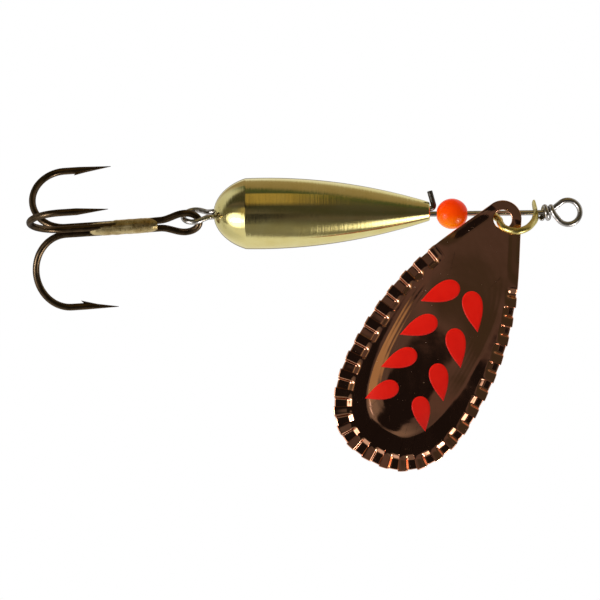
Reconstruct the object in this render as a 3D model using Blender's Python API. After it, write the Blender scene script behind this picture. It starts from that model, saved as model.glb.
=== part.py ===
"""In-line spinner lure: a wire shaft with a turned weight, a bead, a blade on a clevis and a treble hook.

The line is tied to the eye at the origin. +X is the direction of pull, along the shaft, and the blade
hangs towards -Z with its domed face towards -Y. Dimensions below are in millimetres.
"""

import math

import bmesh
import bpy
from mathutils import Matrix, Vector

MM = 0.001

# Shaft wire
WIRE_RADIUS = 0.35
EYE_RADIUS = 1.57
EYE_CENTRE_X = 0.10
EYE_SLOPE = 38.0
EYE_FOOT_Z = 0.22
WRAP_RADIUS = 0.73
WRAP_START_X = -1.93
WRAP_PITCH = 0.80
WRAP_START_TURN = 20.0
WRAP_END_TURN = 660.0
LEG_SPACING = 0.72
TAG_LENGTH = 1.85
TAG_LEAN = 15.0
TAG_BEND_RADIUS = 0.40
TAG_AHEAD = 0.12

# Rear loop of the shaft wire
LOOP_REAR_X = -49.9
LOOP_REAR_LENGTH = 1.45
LOOP_HALF_HEIGHT = 1.55
LOOP_TILT = 59.0
LOOP_BACK = 0.54
LOOP_REAR_Z = 0.05
LOOP_FRONT_X = -45.9
LOOP_TWIST_LENGTH = 1.6

# Turned weight
WEIGHT_REAR_X = -45.96
WEIGHT_LENGTH = 28.1
WEIGHT_AXIS_Z = LEG_SPACING / 2
WEIGHT_NOSE_REACH = 7.0
WEIGHT_SHOULDER = 4.2
WEIGHT_WIDEST = 6.3
WEIGHT_RADIUS = 4.64
WEIGHT_FRONT_RADIUS = 1.2
WEIGHT_BORE_RADIUS = 0.80
WEIGHT_CHAMFER = 0.12

# Bead
BEAD_CENTRE_X = -14.95
BEAD_RADIUS = 1.98
BEAD_HALF_LENGTH = 2.06
BEAD_BORE_RADIUS = 0.47

# Clevis
CLEVIS_TILT = -52.0
CLEVIS_WIRE_RADIUS = 0.46
CLEVIS_FRONT_X = -4.05
EAR_HALF_THICKNESS = 0.23
EAR_HALF_WIDTH = 0.98
EAR_BORE_RADIUS = 0.47
EAR_TOP = 2.2
REAR_EAR_TOP = 1.45
EAR_DRILL_LENGTH = 12.0

# Blade, drawn in its own plane: x from the hole to the far end, y across, z to the domed side
BLADE_TURN = 119.5
BLADE_PIVOT = Vector((-8.84, -1.20, -0.94))
PIVOT_IN_BLADE = (0.32, -0.29)
BLADE_THICKNESS = 0.45
TAB_RADIUS = 2.45
HOLE_RADIUS = 1.20
BLADE_TIP = 35.84
BLADE_HALF_WIDTH = 9.25
BLADE_WIDEST = 23.4
BLADE_END_SQUARENESS = 2.4
SIDE_HANDLES = ((-1.13, 2.17), (5.6, 5.3), (11.5, 9.35))
CRIMP_START = 6.9
CRIMPS = 27
CRIMP_PROFILE = ((0.0, -0.38), (0.40, -0.40), (0.525, -0.12), (0.965, -0.01), (1.0, -0.38))
CRIMP_BAND = 2.2
CRIMP_WALL = 0.62
CRIMP_FADE = 0.3
TAB_BLEND = 4.0
DOME_CENTRE = 19.0
DOME_FAR_LENGTH = 12.5
DOME_NEAR_LENGTH = 14.5
DOME_HALF_WIDTH = 5.85
DOME_SQUARENESS = 2.4
DOME_HEIGHT = 0.55
DOME_FULLNESS = 3.6
DOME_SOFTNESS = 0.12
DOME_RISE_START = 4.0
DOME_RISE_LENGTH = 13.0
BOW_START = 3.0
BOW_DEPTH = 1.2

# Treble hook, in a frame whose x runs forward along the shanks
HOOK_TILT = -3.0
HOOK_AXIS_Y = -0.46
HOOK_AXIS_Z = -0.75
HOOK_WIRE_RADIUS = 0.45
HOOK_BUNDLE_RADIUS = 0.555
HOOK_ROLL = 11.5
HOOK_POINT_RADIUS = 10.55
HOOK_BEND_X = -15.35
HOOK_BEND_DEPTH = 4.3
HOOK_POINT_X = -9.25
HOOK_POINT_TAPER = 4.1
HOOK_TIP_RADIUS = 0.035
HOOK_EYE_X = 0.2
HOOK_EYE_FRONT = 1.85
HOOK_EYE_REAR = 3.3
HOOK_EYE_HALF_HEIGHT = 1.33
HOOK_EYE_TWIST = -25.0
HOOK_SHANKS_PART_X = -6.2
HOOK_SINGLE_FRONT_X = -6.6
HOOK_POINT_LIFT = 0.8
BARB_X = -14.1
BARB_SECTIONS = ((0.0, -0.36, 0.06), (0.55, 0.16, 0.24), (0.75, 0.30, 0.26), (2.6, 0.42, 0.14))
BRAZE_FRONT_X = -3.4
BRAZE_REAR_X = -12.2
BRAZE_RADIUS = 0.965
BRAZE_END_ROUNDING = 0.07
BRAZE_OFF_AXIS = (-0.12, -0.14)
BRAZE_GAP = 0.015


# ---------------------------------------------------------------- helpers


def clear_scene():
    for obj in list(bpy.data.objects):
        bpy.data.objects.remove(obj, do_unlink=True)


def finish(name, colour, roughness, metallic, transmission=0.0):
    made = bpy.data.materials.new(name)
    made.use_nodes = True
    shader = made.node_tree.nodes["Principled BSDF"]
    shader.inputs["Base Color"].default_value = (*colour, 1.0)
    shader.inputs["Roughness"].default_value = roughness
    shader.inputs["Metallic"].default_value = metallic
    shader.inputs["Transmission Weight"].default_value = transmission
    return made


def ease(amount):
    """0 to 1 with level ends."""
    amount = min(max(amount, 0.0), 1.0)
    return amount * amount * (3 - 2 * amount)


def smooth_path(points, steps):
    """A Catmull-Rom curve through the points, with this many steps between neighbours."""
    points = [Vector(point) for point in points]
    padded = [2 * points[0] - points[1], *points, 2 * points[-1] - points[-2]]
    path = []
    for i in range(1, len(padded) - 2):
        a, b, c, d = padded[i - 1 : i + 3]
        for step in range(steps):
            u = step / steps
            square = 2 * a - 5 * b + 4 * c - d
            cube = 3 * b - a - 3 * c + d
            path.append(b + 0.5 * ((c - a) * u + square * u**2 + cube * u**3))
    path.append(points[-1])
    return path


def object_from(name, mesh, material, location=(0, 0, 0), rotation=(0, 0, 0)):
    """A Blender object from a bmesh drawn in millimetres, placed in millimetres and degrees."""
    bmesh.ops.recalc_face_normals(mesh, faces=mesh.faces)
    bmesh.ops.scale(mesh, vec=(MM, MM, MM), verts=mesh.verts)
    data = bpy.data.meshes.new(name)
    mesh.to_mesh(data)
    mesh.free()
    data.shade_smooth()
    data.set_sharp_from_angle(angle=math.radians(38))
    data.materials.append(material)
    obj = bpy.data.objects.new(name, data)
    obj.location = Vector(location) * MM
    obj.rotation_euler = [math.radians(angle) for angle in rotation]
    bpy.context.scene.collection.objects.link(obj)
    return obj


def as_cutter(obj):
    obj.hide_render = True
    obj.display_type = "WIRE"
    return obj


def combine(obj, other, operation):
    """Joins the other shape on, or takes it away."""
    boolean = obj.modifiers.new(other.name, "BOOLEAN")
    boolean.operation = operation
    boolean.solver = "EXACT"
    boolean.object = as_cutter(other)


def swept_mesh(centres, sizes, first_normal, sides):
    """A bar along a path. Each size is the section's half extent along its normal and across it."""
    mesh = bmesh.new()
    normal = Vector(first_normal)
    rings = []
    last = len(centres) - 1
    for i, (centre, (along, across)) in enumerate(zip(centres, sizes)):
        tangent = (centres[min(i + 1, last)] - centres[max(i - 1, 0)]).normalized()
        normal = (normal - normal.dot(tangent) * tangent).normalized()
        sideways = tangent.cross(normal)
        ring = []
        for k in range(sides):
            turn = 2 * math.pi * k / sides
            offset = normal * (along * math.cos(turn)) + sideways * (across * math.sin(turn))
            ring.append(mesh.verts.new(centre + offset))
        rings.append(ring)
    for near, far in zip(rings, rings[1:]):
        for k in range(sides):
            after = (k + 1) % sides
            mesh.faces.new((near[k], near[after], far[after], far[k]))
    mesh.faces.new(rings[0])
    mesh.faces.new(rings[-1])
    return mesh


def turned_mesh(outline, steps):
    """A closed outline of (x, radius) points turned about the X axis."""
    mesh = bmesh.new()
    rings = []
    for x, radius in outline:
        ring = []
        for k in range(steps):
            turn = 2 * math.pi * k / steps
            ring.append(mesh.verts.new((x, radius * math.cos(turn), radius * math.sin(turn))))
        rings.append(ring)
    for near, far in zip(rings, rings[1:] + rings[:1]):
        for k in range(steps):
            after = (k + 1) % steps
            mesh.faces.new((near[k], near[after], far[after], far[k]))
    return mesh


# ---------------------------------------------------------------- shaft wire


def loop_point(x, side):
    """A point of the rear loop's tilted plane, `side` millimetres from its middle line."""
    twist = math.radians(LOOP_TILT) * ease((LOOP_FRONT_X + 0.6 - x) / LOOP_TWIST_LENGTH)
    along = min(max((LOOP_FRONT_X - x) / (LOOP_FRONT_X - LOOP_REAR_X), 0.0), 1.0)
    y = side * math.sin(twist) + LOOP_BACK * along
    z = WEIGHT_AXIS_Z + side * math.cos(twist) + (LOOP_REAR_Z - WEIGHT_AXIS_Z) * along
    return Vector((x, y, z))


def rear_loop_points():
    """From the return leg, round the rear, to the main leg."""
    bend_x = LOOP_REAR_X + LOOP_REAR_LENGTH
    leg = []
    for i in range(8):
        along = i / 8
        x = LOOP_FRONT_X + (bend_x - LOOP_FRONT_X) * along
        spread = (1 - math.cos(math.pi * along)) / 2
        leg.append((x, LEG_SPACING / 2 + (LOOP_HALF_HEIGHT - LEG_SPACING / 2) * spread))
    rear = []
    for i in range(17):
        turn = math.pi * i / 16
        rear.append((bend_x - LOOP_REAR_LENGTH * math.sin(turn), LOOP_HALF_HEIGHT * math.cos(turn)))
    points = [loop_point(x, side) for x, side in leg]
    points += [loop_point(x, side) for x, side in rear]
    points += [loop_point(x, -side) for x, side in reversed(leg)]
    return points


def tag_points():
    """From the cut tip of the tag, round its bend, to the return leg in the weight's bore."""
    front = WEIGHT_REAR_X + WEIGHT_LENGTH
    centre = Vector((front + TAG_AHEAD, 0, LEG_SPACING + TAG_BEND_RADIUS))
    lean = math.radians(TAG_LEAN)
    bend = []
    for i in range(8):
        turn = lean + (-math.pi / 2 - lean) * i / 7
        bend.append(centre + TAG_BEND_RADIUS * Vector((math.cos(turn), 0, math.sin(turn))))
    along = Vector((-math.sin(lean), 0, math.cos(lean)))
    return [bend[0] + along * TAG_LENGTH, bend[0] + along * TAG_LENGTH / 2, *bend]


def eye_points():
    """The line-tie eye: up a straight slope, over the top and round to where the wire crosses in front."""
    first, last, count = EYE_SLOPE + 90, -170.0, 30
    leave = math.radians(first)
    top = Vector((EYE_CENTRE_X + EYE_RADIUS * math.cos(leave), 0, EYE_RADIUS * math.sin(leave)))
    slope = Vector((-math.sin(leave), 0, math.cos(leave)))
    foot = top + slope * ((EYE_FOOT_Z - top.z) / slope.z)
    points = [Vector((-2.75, 0, 0)), Vector((foot.x - 0.28, 0, 0.06)), foot]
    for i in range(count + 1):
        share = i / count
        turn = math.radians(first + (last - first) * share)
        y = -WRAP_RADIUS * ease((share - 0.1) / 0.9)
        points.append(Vector((EYE_CENTRE_X + EYE_RADIUS * math.cos(turn), y, EYE_RADIUS * math.sin(turn))))
    return points


def wrap_points():
    """The wraps round the shaft, ending in the cut tail."""
    points = []
    count = 28
    for i in range(count + 1):
        degrees = WRAP_START_TURN + (WRAP_END_TURN - WRAP_START_TURN) * i / count
        turn = math.radians(degrees)
        x = WRAP_START_X - WRAP_PITCH * (degrees - WRAP_START_TURN) / 360
        points.append(Vector((x, -WRAP_RADIUS * math.cos(turn), WRAP_RADIUS * math.sin(turn))))
    return points


def make_shaft_wire(steel):
    centres = tag_points()
    centres.append(Vector((-30.0, 0, LEG_SPACING)))
    centres += rear_loop_points()
    centres += [Vector((x, 0, 0)) for x in (-45.2, -32.0, -18.0, -4.0)]
    centres += eye_points()
    centres += wrap_points()
    sizes = [(WIRE_RADIUS, WIRE_RADIUS)] * len(centres)
    return object_from("shaft_wire", swept_mesh(centres, sizes, (0, 1, 0), 8), steel)


# ---------------------------------------------------------------- weight and bead


def weight_outline():
    """Closed outline from the rear bore edge, round the ball end, along the taper and back down the bore."""
    outline = []
    fall = (WEIGHT_RADIUS - WEIGHT_FRONT_RADIUS) / (WEIGHT_LENGTH - WEIGHT_WIDEST) ** 2
    shoulder_radius = WEIGHT_RADIUS - fall * (WEIGHT_SHOULDER - WEIGHT_WIDEST) ** 2
    last = math.acos(1 - WEIGHT_SHOULDER / WEIGHT_NOSE_REACH)
    nose_radius = shoulder_radius / math.sin(last)
    first = math.asin((WEIGHT_BORE_RADIUS + 0.1) / nose_radius)
    for i in range(9):
        turn = first + (last - first) * i / 8
        outline.append((WEIGHT_NOSE_REACH * (1 - math.cos(turn)), nose_radius * math.sin(turn)))
    taper = 14
    for i in range(1, taper + 1):
        x = WEIGHT_SHOULDER + (WEIGHT_LENGTH - WEIGHT_CHAMFER - WEIGHT_SHOULDER) * i / taper
        outline.append((x, WEIGHT_RADIUS - fall * (x - WEIGHT_WIDEST) ** 2))
    outline.append((WEIGHT_LENGTH, WEIGHT_FRONT_RADIUS - WEIGHT_CHAMFER))
    outline.append((WEIGHT_LENGTH, WEIGHT_BORE_RADIUS))
    outline.append((outline[0][0], WEIGHT_BORE_RADIUS))
    return outline


def make_weight(brass):
    mesh = turned_mesh(weight_outline(), 36)
    return object_from("body_weight", mesh, brass, (WEIGHT_REAR_X, 0, WEIGHT_AXIS_Z))


def make_bead(orange):
    outline = []
    reach = math.acos(BEAD_BORE_RADIUS / BEAD_RADIUS)
    for i in range(13):
        turn = -reach + 2 * reach * i / 12
        outline.append((BEAD_HALF_LENGTH * math.sin(turn), BEAD_RADIUS * math.cos(turn)))
    return object_from("bead", turned_mesh(outline, 28), orange, (BEAD_CENTRE_X, 0, 0))


# ---------------------------------------------------------------- clevis


def clevis_centres():
    """(x from the front ear, depth from the shaft) along the folded wire, rear ear tip to front ear tip."""
    return [
        (-5.61, -REAR_EAR_TOP),
        (-5.60, -0.90),
        (-5.58, 0.00),
        (-5.40, 0.55),
        (-5.12, 1.00),
        (-4.80, 1.55),
        (-4.70, 2.25),
        (-4.14, 3.30),
        (-2.70, 3.92),
        (-1.34, 3.32),
        (-0.42, 2.00),
        (-0.08, 0.90),
        (0.00, 0.00),
        (-0.12, -1.20),
        (-0.24, -EAR_TOP),
    ]


def clevis_section(depth, top):
    """Half extents of the wire, which is flat in the ears, up to their top, and round below them."""
    round_share = ease((depth - 0.25) / 0.75)
    thick = EAR_HALF_THICKNESS + (CLEVIS_WIRE_RADIUS - EAR_HALF_THICKNESS) * round_share
    wide = EAR_HALF_WIDTH + (CLEVIS_WIRE_RADIUS - EAR_HALF_WIDTH) * round_share
    beyond = max(EAR_HALF_WIDTH - top - depth, 0.0) / EAR_HALF_WIDTH
    wide *= math.sqrt(max(1 - beyond * beyond, 0.04))
    return thick, wide


def make_clevis(brass):
    centres = smooth_path([(x, 0, -depth) for x, depth in clevis_centres()], 4)
    middle_x = centres[0].x / 2
    tops = [REAR_EAR_TOP if centre.x < middle_x else EAR_TOP for centre in centres]
    sizes = [clevis_section(-centre.z, top) for centre, top in zip(centres, tops)]
    clevis = object_from(
        "clevis",
        swept_mesh(centres, sizes, (1, 0, 0), 12),
        brass,
        (CLEVIS_FRONT_X, 0, 0),
        (CLEVIS_TILT, 0, 0),
    )
    drill = bmesh.new()
    bmesh.ops.create_cone(
        drill,
        cap_ends=True,
        segments=20,
        radius1=EAR_BORE_RADIUS,
        radius2=EAR_BORE_RADIUS,
        depth=EAR_DRILL_LENGTH,
        matrix=Matrix.Rotation(math.radians(90), 4, "Y"),
    )
    combine(clevis, object_from("ear_drill", drill, brass, (CLEVIS_FRONT_X, 0, 0)), "DIFFERENCE")
    return clevis


# ---------------------------------------------------------------- blade


def half_outline():
    """(along, across) points of one side, from the tab's end to the far tip."""
    points = []
    start_x, start_y = SIDE_HANDLES[0]
    side_turn = math.atan2(start_y, start_x)
    for i in range(20):
        turn = math.pi + (side_turn - math.pi) * i / 20
        points.append((TAB_RADIUS * math.cos(turn), TAB_RADIUS * math.sin(turn)))
    handles = [*SIDE_HANDLES, (BLADE_WIDEST, BLADE_HALF_WIDTH)]
    for i in range(80):
        u = i / 80
        weights = ((1 - u) ** 3, 3 * u * (1 - u) ** 2, 3 * u * u * (1 - u), u**3)
        points.append(tuple(sum(w * handle[k] for w, handle in zip(weights, handles)) for k in (0, 1)))
    power = 2 / BLADE_END_SQUARENESS
    for i in range(81):
        turn = math.pi / 2 * (1 - i / 80)
        along = BLADE_WIDEST + (BLADE_TIP - BLADE_WIDEST) * math.cos(turn) ** power
        points.append((along, BLADE_HALF_WIDTH * max(math.sin(turn), 0.0) ** power))
    return points


def spaced(points, count):
    """This many points at even spacing along a polyline, leaving out its last end."""
    lengths = [0.0]
    for (ax, ay), (bx, by) in zip(points, points[1:]):
        lengths.append(lengths[-1] + math.hypot(bx - ax, by - ay))
    found = []
    piece = 0
    for i in range(count):
        wanted = lengths[-1] * i / count
        while lengths[piece + 1] < wanted:
            piece += 1
        share = (wanted - lengths[piece]) / (lengths[piece + 1] - lengths[piece])
        (ax, ay), (bx, by) = points[piece], points[piece + 1]
        found.append((ax + (bx - ax) * share, ay + (by - ay) * share))
    return found


def blade_edge(per_crimp, plain_count):
    """Edge points with the crimp that each is in: the crimped stretch, then the plain tab, which has none."""
    half = half_outline()
    crimped = [point for point in half if point[0] >= CRIMP_START]
    plain = [point for point in half if point[0] < CRIMP_START] + crimped[:1]
    crimped_path = crimped + [(x, -y) for x, y in reversed(crimped[:-1])]
    plain_path = [(x, -y) for x, y in reversed(plain)] + plain[1:]
    edge = [(point, i / per_crimp) for i, point in enumerate(spaced(crimped_path, CRIMPS * per_crimp))]
    edge += [(point, None) for point in spaced(plain_path, plain_count)]
    return edge


def inward(points):
    """Directions in from the edge: square to it, and towards the middle of the dome round the tab."""
    found = []
    for k, (x, y) in enumerate(points):
        (ax, ay), (bx, by) = points[k - 1], points[(k + 1) % len(points)]
        square = Vector((by - ay, ax - bx)).normalized()
        centre = Vector((DOME_CENTRE - x, -y)).normalized()
        if square.dot(centre) < 0:
            square = -square
        found.append(square.lerp(centre, ease((CRIMP_START - x) / TAB_BLEND)).normalized())
    return found


def crimp_level(place_on):
    """Height along a crimp: its low floor, the sloped side up, its high block and the steep step down."""
    phase = place_on - math.floor(place_on)
    for (start, low), (end, high) in zip(CRIMP_PROFILE, CRIMP_PROFILE[1:]):
        if phase <= end:
            return low + (high - low) * (phase - start) / (end - start)
    return CRIMP_PROFILE[-1][1]


def crimp_offset(place_on, inset):
    """Height that a crimp adds at this distance in from the rim."""
    if place_on is None:
        return 0.0
    wall = min(max((CRIMP_BAND - inset) / CRIMP_WALL, 0.0), 1.0)
    return crimp_level(place_on) * wall * ease(min(place_on, CRIMPS - place_on) / CRIMP_FADE)


def blade_height(x, y):
    """Height of the domed side above the plane of the tab, without the crimps."""
    length = DOME_FAR_LENGTH if x > DOME_CENTRE else DOME_NEAR_LENGTH
    along = (abs(x - DOME_CENTRE) / length) ** DOME_SQUARENESS
    across = (abs(y) / DOME_HALF_WIDTH) ** DOME_SQUARENESS
    free = DOME_HEIGHT * (1 - (along + across) ** (DOME_FULLNESS / DOME_SQUARENESS))
    dome = (free + math.hypot(free, DOME_SOFTNESS)) / 2
    bow = BOW_DEPTH * (max(x - BOW_START, 0.0) / (BLADE_TIP - BOW_START)) ** 2
    return dome * ease((x - DOME_RISE_START) / DOME_RISE_LENGTH) - bow


def blade_mesh():
    edge = blade_edge(per_crimp=5, plain_count=22)
    insets = (0.0, CRIMP_BAND - CRIMP_WALL, CRIMP_BAND)
    shares = (0.91, 0.82, 0.73, 0.62, 0.48, 0.33, 0.17)
    directions = inward([point for point, _ in edge])
    mesh = bmesh.new()
    top_rings = []
    rows = len(insets) + len(shares)
    for row in range(rows):
        ring = []
        inset = insets[min(row, len(insets) - 1)]
        share = shares[row - len(insets)] if row >= len(insets) else 1.0
        for ((x, y), place_on), (inward_x, inward_y) in zip(edge, directions):
            px = DOME_CENTRE + (x + inward_x * inset - DOME_CENTRE) * share
            py = (y + inward_y * inset) * share
            ring.append((px, py, blade_height(px, py) + crimp_offset(place_on, inset)))
        top_rings.append(ring)
    half = BLADE_THICKNESS / 2
    faces_of = []
    for lift in (half, -half):
        rings = [[mesh.verts.new((x, y, z + lift)) for x, y, z in ring] for ring in top_rings]
        count = len(edge)
        for near, far in zip(rings, rings[1:]):
            for k in range(count):
                after = (k + 1) % count
                mesh.faces.new((near[k], near[after], far[after], far[k]))
        middle = mesh.verts.new((DOME_CENTRE, 0, blade_height(DOME_CENTRE, 0) + lift))
        for k in range(count):
            mesh.faces.new((rings[-1][k], rings[-1][(k + 1) % count], middle))
        faces_of.append(rings[0])
    upper, lower = faces_of
    for k in range(len(upper)):
        after = (k + 1) % len(upper)
        mesh.faces.new((upper[k], upper[after], lower[after], lower[k]))
    return mesh


def make_blade(copper):
    shift = Matrix.Translation((-PIVOT_IN_BLADE[0], -PIVOT_IN_BLADE[1], 0))
    rotation = (90, BLADE_TURN, 0)
    plate = blade_mesh()
    plate.transform(shift)
    blade = object_from("blade", plate, copper, BLADE_PIVOT, rotation)
    punch = bmesh.new()
    bmesh.ops.create_cone(
        punch, cap_ends=True, segments=28, radius1=HOLE_RADIUS, radius2=HOLE_RADIUS, depth=3, matrix=shift
    )
    combine(blade, object_from("blade_punch", punch, copper, BLADE_PIVOT, rotation), "DIFFERENCE")
    return blade


# ---------------------------------------------------------------- treble hook


def hook_direction(degrees):
    """Unit vector across the shanks: 0 is towards -Y and 90 is towards +Z."""
    turn = math.radians(degrees)
    return Vector((0, -math.cos(turn), math.sin(turn)))


def hook_axis_point(x, outward, degrees):
    return Vector((x, HOOK_AXIS_Y, HOOK_AXIS_Z)) + outward * hook_direction(degrees)


def point_radius(x):
    """Wire radius on the point's leg, which is ground down to the tip."""
    left = (HOOK_POINT_X - x) / HOOK_POINT_TAPER
    return HOOK_TIP_RADIUS + (HOOK_WIRE_RADIUS - HOOK_TIP_RADIUS) * min(left, 1.0)


def hook_bend(degrees):
    """Centres and radii from the tip of one hook, round its bend, to the rear of its shank."""
    stations = []
    for share in (1.0, 0.9, 0.7, 0.45, 0.2, 0.0):
        x = HOOK_POINT_X - HOOK_POINT_TAPER * (1 - share)
        radius = point_radius(x)
        lift = HOOK_POINT_LIFT * (HOOK_WIRE_RADIUS - radius)
        stations.append((hook_axis_point(x, HOOK_POINT_RADIUS + lift, degrees), radius))
    middle = (HOOK_POINT_RADIUS + HOOK_BUNDLE_RADIUS) / 2
    half = (HOOK_POINT_RADIUS - HOOK_BUNDLE_RADIUS) / 2
    for i in range(17):
        turn = math.pi * i / 16
        x = HOOK_BEND_X - HOOK_BEND_DEPTH * math.sin(turn)
        stations.append((hook_axis_point(x, middle + half * math.cos(turn), degrees), HOOK_WIRE_RADIUS))
    return stations


def hook_eye():
    """The eye of the double hook, from its upper shank round to its lower one."""
    twist = math.radians(HOOK_EYE_TWIST)
    upward = Vector((0, math.sin(twist), math.cos(twist)))
    stations = []
    steps = 9
    for i in range(steps):
        share = i / steps
        spread = (1 - math.cos(math.pi * share)) / 2
        height = HOOK_BUNDLE_RADIUS + (HOOK_EYE_HALF_HEIGHT - HOOK_BUNDLE_RADIUS) * spread
        stations.append((HOOK_EYE_X - HOOK_EYE_REAR * (1 - share), height))
    for i in range(13):
        turn = math.pi / 2 * i / 6
        x = HOOK_EYE_X + HOOK_EYE_FRONT * math.sin(turn)
        stations.append((x, HOOK_EYE_HALF_HEIGHT * math.cos(turn)))
    stations += [(x, -height) for x, height in reversed(stations[:steps])]
    return [Vector((x, HOOK_AXIS_Y, HOOK_AXIS_Z)) + height * upward for x, height in stations]


def add_barb(hook, degrees, steel, pivot):
    """A sliver raised from the inner side of the point's leg, from its free tip to its root."""
    inner = HOOK_POINT_RADIUS - HOOK_WIRE_RADIUS
    across = hook_direction(degrees).cross(Vector((1, 0, 0)))
    corners = []
    for ahead, outward, half_width in BARB_SECTIONS:
        for side in (-half_width, half_width):
            corners.append(hook_axis_point(BARB_X + ahead, inner + outward, degrees) + across * side)
    mesh = bmesh.new()
    for corner in corners:
        mesh.verts.new(corner)
    bmesh.ops.convex_hull(mesh, input=mesh.verts)
    barb = object_from(f"{hook.name}_barb_{round(degrees)}", mesh, steel)
    barb.parent = pivot
    combine(hook, barb, "UNION")


def double_stations():
    halves = []
    for degrees in (HOOK_ROLL + 120, HOOK_ROLL - 120):
        front = hook_axis_point(HOOK_SHANKS_PART_X, HOOK_BUNDLE_RADIUS, degrees)
        halves.append([*hook_bend(degrees), (front, HOOK_WIRE_RADIUS)])
    eye = [(centre, HOOK_WIRE_RADIUS) for centre in hook_eye()]
    return halves[0] + eye + halves[1][::-1]


def single_stations(beyond=0.0):
    """The single hook, with its shank's front end cut `beyond` millimetres further forward."""
    front = hook_axis_point(HOOK_SINGLE_FRONT_X + beyond, HOOK_BUNDLE_RADIUS, HOOK_ROLL)
    return [*hook_bend(HOOK_ROLL), (front, HOOK_WIRE_RADIUS)]


def wire_mesh(stations, grown, sides):
    centres = [centre for centre, _ in stations]
    sizes = [(radius + grown, radius + grown) for _, radius in stations]
    return swept_mesh(centres, sizes, (0, 0.3, 1), sides)


def make_treble(bronze, brass, pivot):
    double = object_from("hook_double", wire_mesh(double_stations(), 0, 10), bronze)
    single = object_from("hook_single", wire_mesh(single_stations(), 0, 10), bronze)
    for hook, turns in ((double, (120, -120)), (single, (0,))):
        hook.parent = pivot
        for turn in turns:
            add_barb(hook, HOOK_ROLL + turn, bronze, pivot)

    centres = []
    sizes = []
    steps = 8
    for i in range(steps + 1):
        share = i / steps
        x = BRAZE_REAR_X + (BRAZE_FRONT_X - BRAZE_REAR_X) * share
        radius = BRAZE_RADIUS * (1 - BRAZE_END_ROUNDING * abs(2 * share - 1) ** 6)
        centres.append(Vector((x, HOOK_AXIS_Y + BRAZE_OFF_AXIS[0], HOOK_AXIS_Z + BRAZE_OFF_AXIS[1])))
        sizes.append((radius, radius))
    braze = object_from("hook_braze", swept_mesh(centres, sizes, (0, 1, 0), 20), brass)
    braze.parent = pivot
    spaces = {"double_space": double_stations(), "single_space": single_stations(beyond=BRAZE_GAP)}
    for name, stations in spaces.items():
        space = object_from(name, wire_mesh(stations, BRAZE_GAP, 10), brass)
        space.parent = pivot
        combine(braze, space, "DIFFERENCE")


# ---------------------------------------------------------------- assembly


def main():
    clear_scene()
    steel = finish("steel_wire", (0.50, 0.49, 0.47), 0.22, 1.0)
    body_brass = finish("body_brass", (0.78, 0.70, 0.36), 0.18, 1.0)
    orange = finish("bead_orange", (1.0, 0.16, 0.01), 0.08, 0.0, 0.4)
    clevis_brass = finish("clevis_brass", (0.80, 0.66, 0.22), 0.18, 1.0)
    copper = finish("blade_copper", (0.45, 0.24, 0.17), 0.10, 1.0)
    bronze = finish("hook_bronze", (0.20, 0.14, 0.09), 0.25, 1.0)
    braze_brass = finish("braze_brass", (0.66, 0.52, 0.26), 0.40, 1.0)

    make_shaft_wire(steel)
    make_weight(body_brass)
    make_bead(orange)
    make_clevis(clevis_brass)
    make_blade(copper)

    pivot = bpy.data.objects.new("hook_pivot", None)
    pivot.location = Vector((LOOP_REAR_X, LOOP_BACK, LOOP_REAR_Z)) * MM
    pivot.rotation_euler = (0, math.radians(HOOK_TILT), 0)
    bpy.context.scene.collection.objects.link(pivot)
    make_treble(bronze, braze_brass, pivot)


main()
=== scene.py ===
"""The looks of the in-line spinner lure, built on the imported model. Sizes are in millimetres.

+X is the direction of pull, the camera looks along +Y and the blade hangs towards -Z.
"""

import bisect
from math import acos, asin, atan2, cos, floor, hypot, pi, radians, sin, sqrt

import bmesh
import bpy
from mathutils import Matrix, Vector, noise


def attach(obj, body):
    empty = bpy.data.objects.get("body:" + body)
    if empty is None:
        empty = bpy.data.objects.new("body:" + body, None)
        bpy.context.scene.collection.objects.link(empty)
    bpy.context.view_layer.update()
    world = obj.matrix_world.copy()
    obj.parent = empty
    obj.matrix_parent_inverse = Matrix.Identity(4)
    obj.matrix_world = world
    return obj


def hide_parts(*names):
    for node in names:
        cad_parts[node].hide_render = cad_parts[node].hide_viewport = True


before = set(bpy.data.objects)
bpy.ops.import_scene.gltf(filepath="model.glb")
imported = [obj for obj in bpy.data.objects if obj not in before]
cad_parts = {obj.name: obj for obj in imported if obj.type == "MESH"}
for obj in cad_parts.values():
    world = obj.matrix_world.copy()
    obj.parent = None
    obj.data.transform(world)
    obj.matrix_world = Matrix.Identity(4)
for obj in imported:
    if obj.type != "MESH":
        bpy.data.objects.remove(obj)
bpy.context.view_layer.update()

MM = 0.001

# Camera
VIEW_CENTRE = (-34.86, -10.95)
VIEW_WIDTH = 78.0
VIEW_DISTANCE = 600.0
VIEW_ROLL = 0.75

# Shaft wire
WIRE_RADIUS = 0.35
EYE_RADIUS = 1.57
EYE_CENTRE_X = 0.10
EYE_SLOPE = 38.0
EYE_LAST_TURN = -150.0
EYE_FOOT_Z = 0.22
WRAP_RADIUS = 0.73
WRAP_START_X = -1.93
WRAP_PITCH = 0.80
WRAP_START_TURN = 20.0
WRAP_END_TURN = 660.0
LEG_SPACING = 0.72
TAG_LENGTH = 1.85
TAG_LEAN = 15.0
TAG_BEND_RADIUS = 0.40
TAG_AHEAD = 0.12
LOOP_REAR_X = -49.9
LOOP_REAR_LENGTH = 1.45
LOOP_HALF_HEIGHT = 1.55
LOOP_TILT = 59.0
LOOP_BACK = 0.54
LOOP_REAR_Z = 0.05
LOOP_FRONT_X = -45.9
LOOP_TWIST_LENGTH = 1.6

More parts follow.
